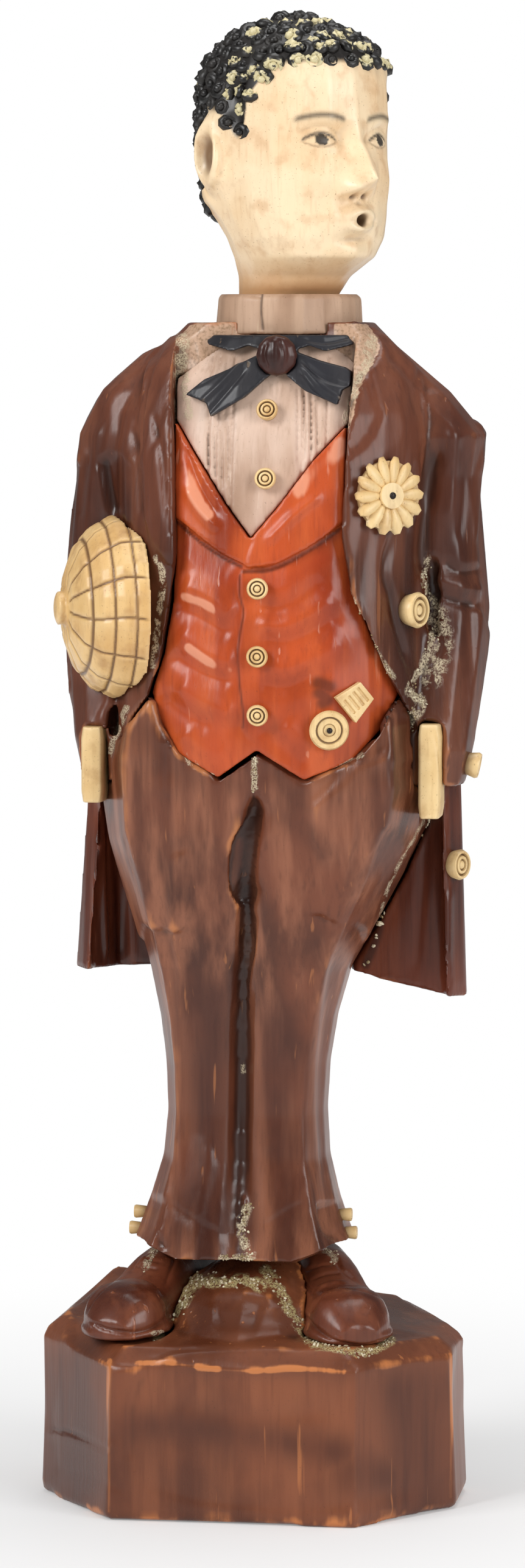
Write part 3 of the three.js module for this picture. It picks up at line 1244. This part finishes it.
const trouserGrown = trousersLoft(LEG_LEVELS, 0, 1, GAP);
const tailRoom = [trouserGrown, ...sleevesGrown, ...handsGrown];
addPart(dress, "coat_tail_left", cut(tail(LEFT_TAIL), ...tailRoom), LOOK.coat);
addPart(dress, "coat_tail_right", cut(tail(RIGHT_TAIL), ...tailRoom), LOOK.coat);
addPart(dress, "coat", coat(handsGrown), LOOK.coat);
addPart(dress, "back_cover", backCover(), LOOK.coat);
addPart(dress, "waistcoat", waistcoat(), LOOK.waistcoat);
addPart(dress, "shirt_front", shirtFront(), LOOK.shirt);
addPart(dress, "collar", collar(), LOOK.shirt);
addPart(dress, "bow_tie", bowTie(), LOOK.tie);
const collarTop = COLLAR_SEAT + COLLAR_HEIGHT + 1;
const collarGrown = rodZ(COLLAR_RADIUS + GAP, COLLAR_SEAT, collarTop, TRUNK_X + NECK_SHIFT, 0, 32);
addPart(dress, "tie_knot", cut(tieKnot(), chest(GAP - SHIRT_SET), collarGrown), LOOK.wood);
addPart(dress, "hat", hat([coatTrunk(GAP), coatLapels(GAP), ...sleevesGrown]), LOOK.bone);
addPart(dress, "hand_right", hand(-1), LOOK.bone);
addPart(dress, "hand_left", hand(1), LOOK.bone);

const dressButton = () => button({ radius: BUTTON_RADIUS, thick: BUTTON_THICK });
for (const [name, up] of SHIRT_BUTTONS) {
  const place = { across: SHIRT_BUTTON_ACROSS, up };
  addPart(trim, name, onFront(chestForm, dressButton(), place, SHIRT_SET), LOOK.bone);
}
for (const [name, up] of VEST_BUTTONS) {
  addPart(trim, name, onFront(chestForm, dressButton(), { across: 0, up }), LOOK.bone);
}
addPart(trim, "coat_button", onFront(coatForm, button(COAT_BUTTON), COAT_BUTTON), LOOK.bone);
addPart(trim, "rosette", onFront(coatForm, rosette(), ROSETTE, -FOLD_PROUD), LOOK.bone);
addPart(trim, "watch_case", onFront(chestForm, button(WATCH), WATCH), LOOK.bone);
addPart(trim, "watch_fob", onFront(chestForm, watchFob(), FOB), LOOK.bone);

const sideways = (side, down = 0) => new THREE.Vector3(side, 0, down).normalize();
const [cuffAcross, cuffY, cuffHalf] = sleeveForm(CUFF_BUTTON.share);
const cuffSeat = new THREE.Vector3(
  TRUNK_X + cuffAcross + cuffHalf + GAP,
  cuffY,
  WAIST - SLEEVE_DROP + CUFF_BUTTON.share * SLEEVE_LENGTH,
);
addPart(trim, "cuff_button", laidOn(button(CUFF_BUTTON), cuffSeat, sideways(1, CUFF_BUTTON.fall)), LOOK.bone);
const [cornerRear, cornerFront] = tailCorner(1 - TAIL_BUTTON.drop / LEFT_TAIL.length, LEFT_TAIL);
const slant = cornerRear.clone().sub(cornerFront).normalize();
const tailNormal = new THREE.Vector3(slant.y, -slant.x, 0);
const tailMiddle = cornerRear.add(cornerFront).multiplyScalar(0.5);
const tailSeat = new THREE.Vector3(TRUNK_X + tailMiddle.x, tailMiddle.y, TAIL_TOP - TAIL_BUTTON.drop);
tailSeat.addScaledVector(tailNormal, GAP);
addPart(trim, "tail_button", laidOn(button(TAIL_BUTTON), tailSeat, tailNormal), LOOK.bone);
for (const [name, side, up] of ANKLE_BUTTONS) {
  const [x, halfWidth] = trouserForm(up / LEG_LENGTH);
  const seat = new THREE.Vector3(x + side * (halfWidth + 2 * GAP), ANKLE_BUTTON.y, CUFF_Z + up);
  addPart(trim, name, laidOn(button(ANKLE_BUTTON), seat, sideways(side)), LOOK.bone);
}
COVER_SCREWS.forEach((place, i) => addPart(trim, `cover_screw_${i + 1}`, coverScrew(place), LOOK.steel));

const movement = new THREE.Group();
movement.position.set(TRUNK_X, 0, WAIST);
whistler.add(movement);
addPart(movement, "front_plate", frontPlate(), LOOK.brass);
addPart(movement, "rear_plate", rearPlate(), LOOK.brass);
PILLARS.forEach(([x, z], i) => {
  const pillar = rodY(PILLAR_RADIUS, INSIDE + FIT, REAR_PLATE_Y - FIT, x, z);
  addPart(movement, `pillar_${i + 1}`, pillar, LOOK.steel);
});
addPart(movement, "spring_barrel", springBarrel(), LOOK.brass);
addPart(movement, "mainspring", mainspring(), LOOK.steel);
addPart(movement, "winding_arbor", windingArbor(), LOOK.steel);
addPart(movement, "winding_key", windingKey(), LOOK.brass);
addPart(movement, "click", click(), LOOK.steel);
addPart(movement, "cam_arbor", camArbor(), LOOK.steel);
addPart(movement, "cam_wheel", camWheel(), LOOK.brass);
addPart(movement, "tune_cam", tuneCam(), LOOK.brass);
addPart(movement, "crank_arbor", crankArbor(), LOOK.steel);
addPart(movement, "crank_wheel", crankWheel(), LOOK.brass);
addPart(movement, "fly", fly(), LOOK.brass);
addPart(movement, "whistle", whistle(), LOOK.brass);
addPart(movement, "piston", piston(), LOOK.steel);
addPart(movement, "follower_lever", followerLever(), LOOK.steel);
addPart(movement, "bellows_top", bellowsTop(), LOOK.board);
addPart(movement, "bellows_leather", bellowsLeather(), LOOK.leather);
addPart(movement, "bellows_board", bellowsBoard(), LOOK.board);
addPart(movement, "bellows_rod", bellowsRod(), LOOK.steel);
addPart(movement, "stop_lever", stopLever(), LOOK.steel);
addPart(movement, "head_spindle", headSpindle(), LOOK.steel);

const neck = new THREE.Group();
neck.position.set(TRUNK_X + NECK_SHIFT, 0, COLLAR_SEAT + GAP);
neck.rotation.z = THREE.MathUtils.degToRad(HEAD_YAW);
whistler.add(neck);
addPart(neck, "head", headBody(), LOOK.skin);

export default whistler;
